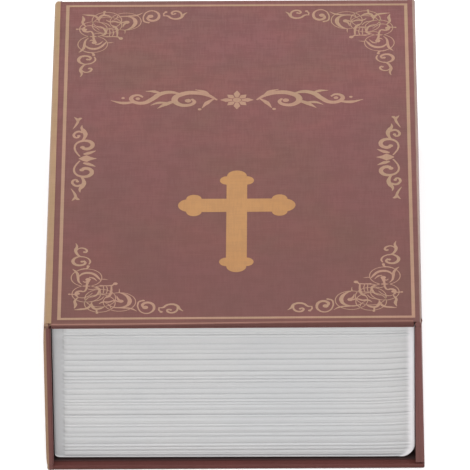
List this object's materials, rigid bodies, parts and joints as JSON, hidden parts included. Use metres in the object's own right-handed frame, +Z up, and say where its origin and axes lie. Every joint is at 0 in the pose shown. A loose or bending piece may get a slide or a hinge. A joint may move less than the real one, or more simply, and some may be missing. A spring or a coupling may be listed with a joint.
{
  "type": "book diversion safe",
  "caption": "Book-shaped safe: hinged hard cover with a magnetic fore-edge flap round a moulded page block that holds a steel box with a hinged lid and cam lock.",
  "frame": {"origin": "middle of the footprint, on the underside of the back cover", "axes": "+Z up through the closed book, +Y from the tail to the head of the book, +X from the spine to the fore edge"},
  "size_m": [0.1162, 0.18, 0.055],
  "materials": {
    "cover_paper": "satin laminated paper with a fine linen grain, maroon with printed gold-brown lines",
    "lining": "matt dark red-brown paper",
    "board": "matt grey pressed board",
    "page_plastic": "satin moulded plastic, pale grey-white with fine page lines",
    "coated_steel": "fine-textured powder coat, near black",
    "hinge_steel": "brushed bright steel",
    "zinc_steel": "zinc-plated, slightly dull",
    "lock_chrome": "polished chrome plate",
    "magnet": "nickel-plated magnet"
  },
  "bodies": {
    "case": {"back_board": "board", "back_cover_paper": "cover_paper", "back_lining": "lining", "base_crease": "cover_paper", "spine_board": "board", "spine_cover_paper": "cover_paper", "spine_lining": "lining", "spine_crease": "cover_paper", "page_block": "page_plastic", "block_magnet_tail": "magnet", "block_magnet_head": "magnet", "steel_box": "coated_steel", "box_screw_tail_1": "zinc_steel", "box_screw_tail_2": "zinc_steel", "box_screw_head_1": "zinc_steel", "box_screw_head_2": "zinc_steel", "strike_bracket": "zinc_steel", "box_hinge_leaf": "hinge_steel", "lid_hinge_pin": "hinge_steel"},
    "front_cover": {"front_board": "board", "front_cover_paper": "cover_paper", "front_lining": "lining", "flap_crease": "cover_paper"},
    "flap": {"flap_board": "board", "flap_cover_paper": "cover_paper", "flap_lining": "lining", "flap_magnet_tail": "magnet", "flap_magnet_head": "magnet"},
    "lid": {"steel_lid": "coated_steel", "lid_hinge_leaf": "hinge_steel", "lock_barrel": "lock_chrome", "lock_washer": "zinc_steel", "lock_nut": "zinc_steel"},
    "plug": {"lock_plug": "lock_chrome", "lock_cam": "zinc_steel", "cam_screw": "zinc_steel"}
  },
  "joints": [
    {"name": "cover_hinge", "type": "hinge", "parent": "case", "child": "front_cover", "pos_m": [-0.0572, 0, 0.0541], "axis": [0, -1, 0], "range_deg": [0, 180]},
    {"name": "flap_hinge", "type": "hinge", "parent": "front_cover", "child": "flap", "pos_m": [0.056, 0, 0.0541], "axis": [0, -1, 0], "range_deg": [0, 110]},
    {"name": "lid_hinge", "type": "hinge", "parent": "case", "child": "lid", "pos_m": [-0.0451, 0, 0.0504], "axis": [0, -1, 0], "range_deg": [0, 100]},
    {"name": "lock_turn", "type": "hinge", "parent": "lid", "child": "plug", "pos_m": [0.0305, 0, 0.0514], "axis": [0, 0, 1], "range_deg": [0, 90]}
  ],
  "couplings": [
    {"joint": "lid_hinge", "follows": "cover_hinge", "ratio": 0.5555}
  ]
}
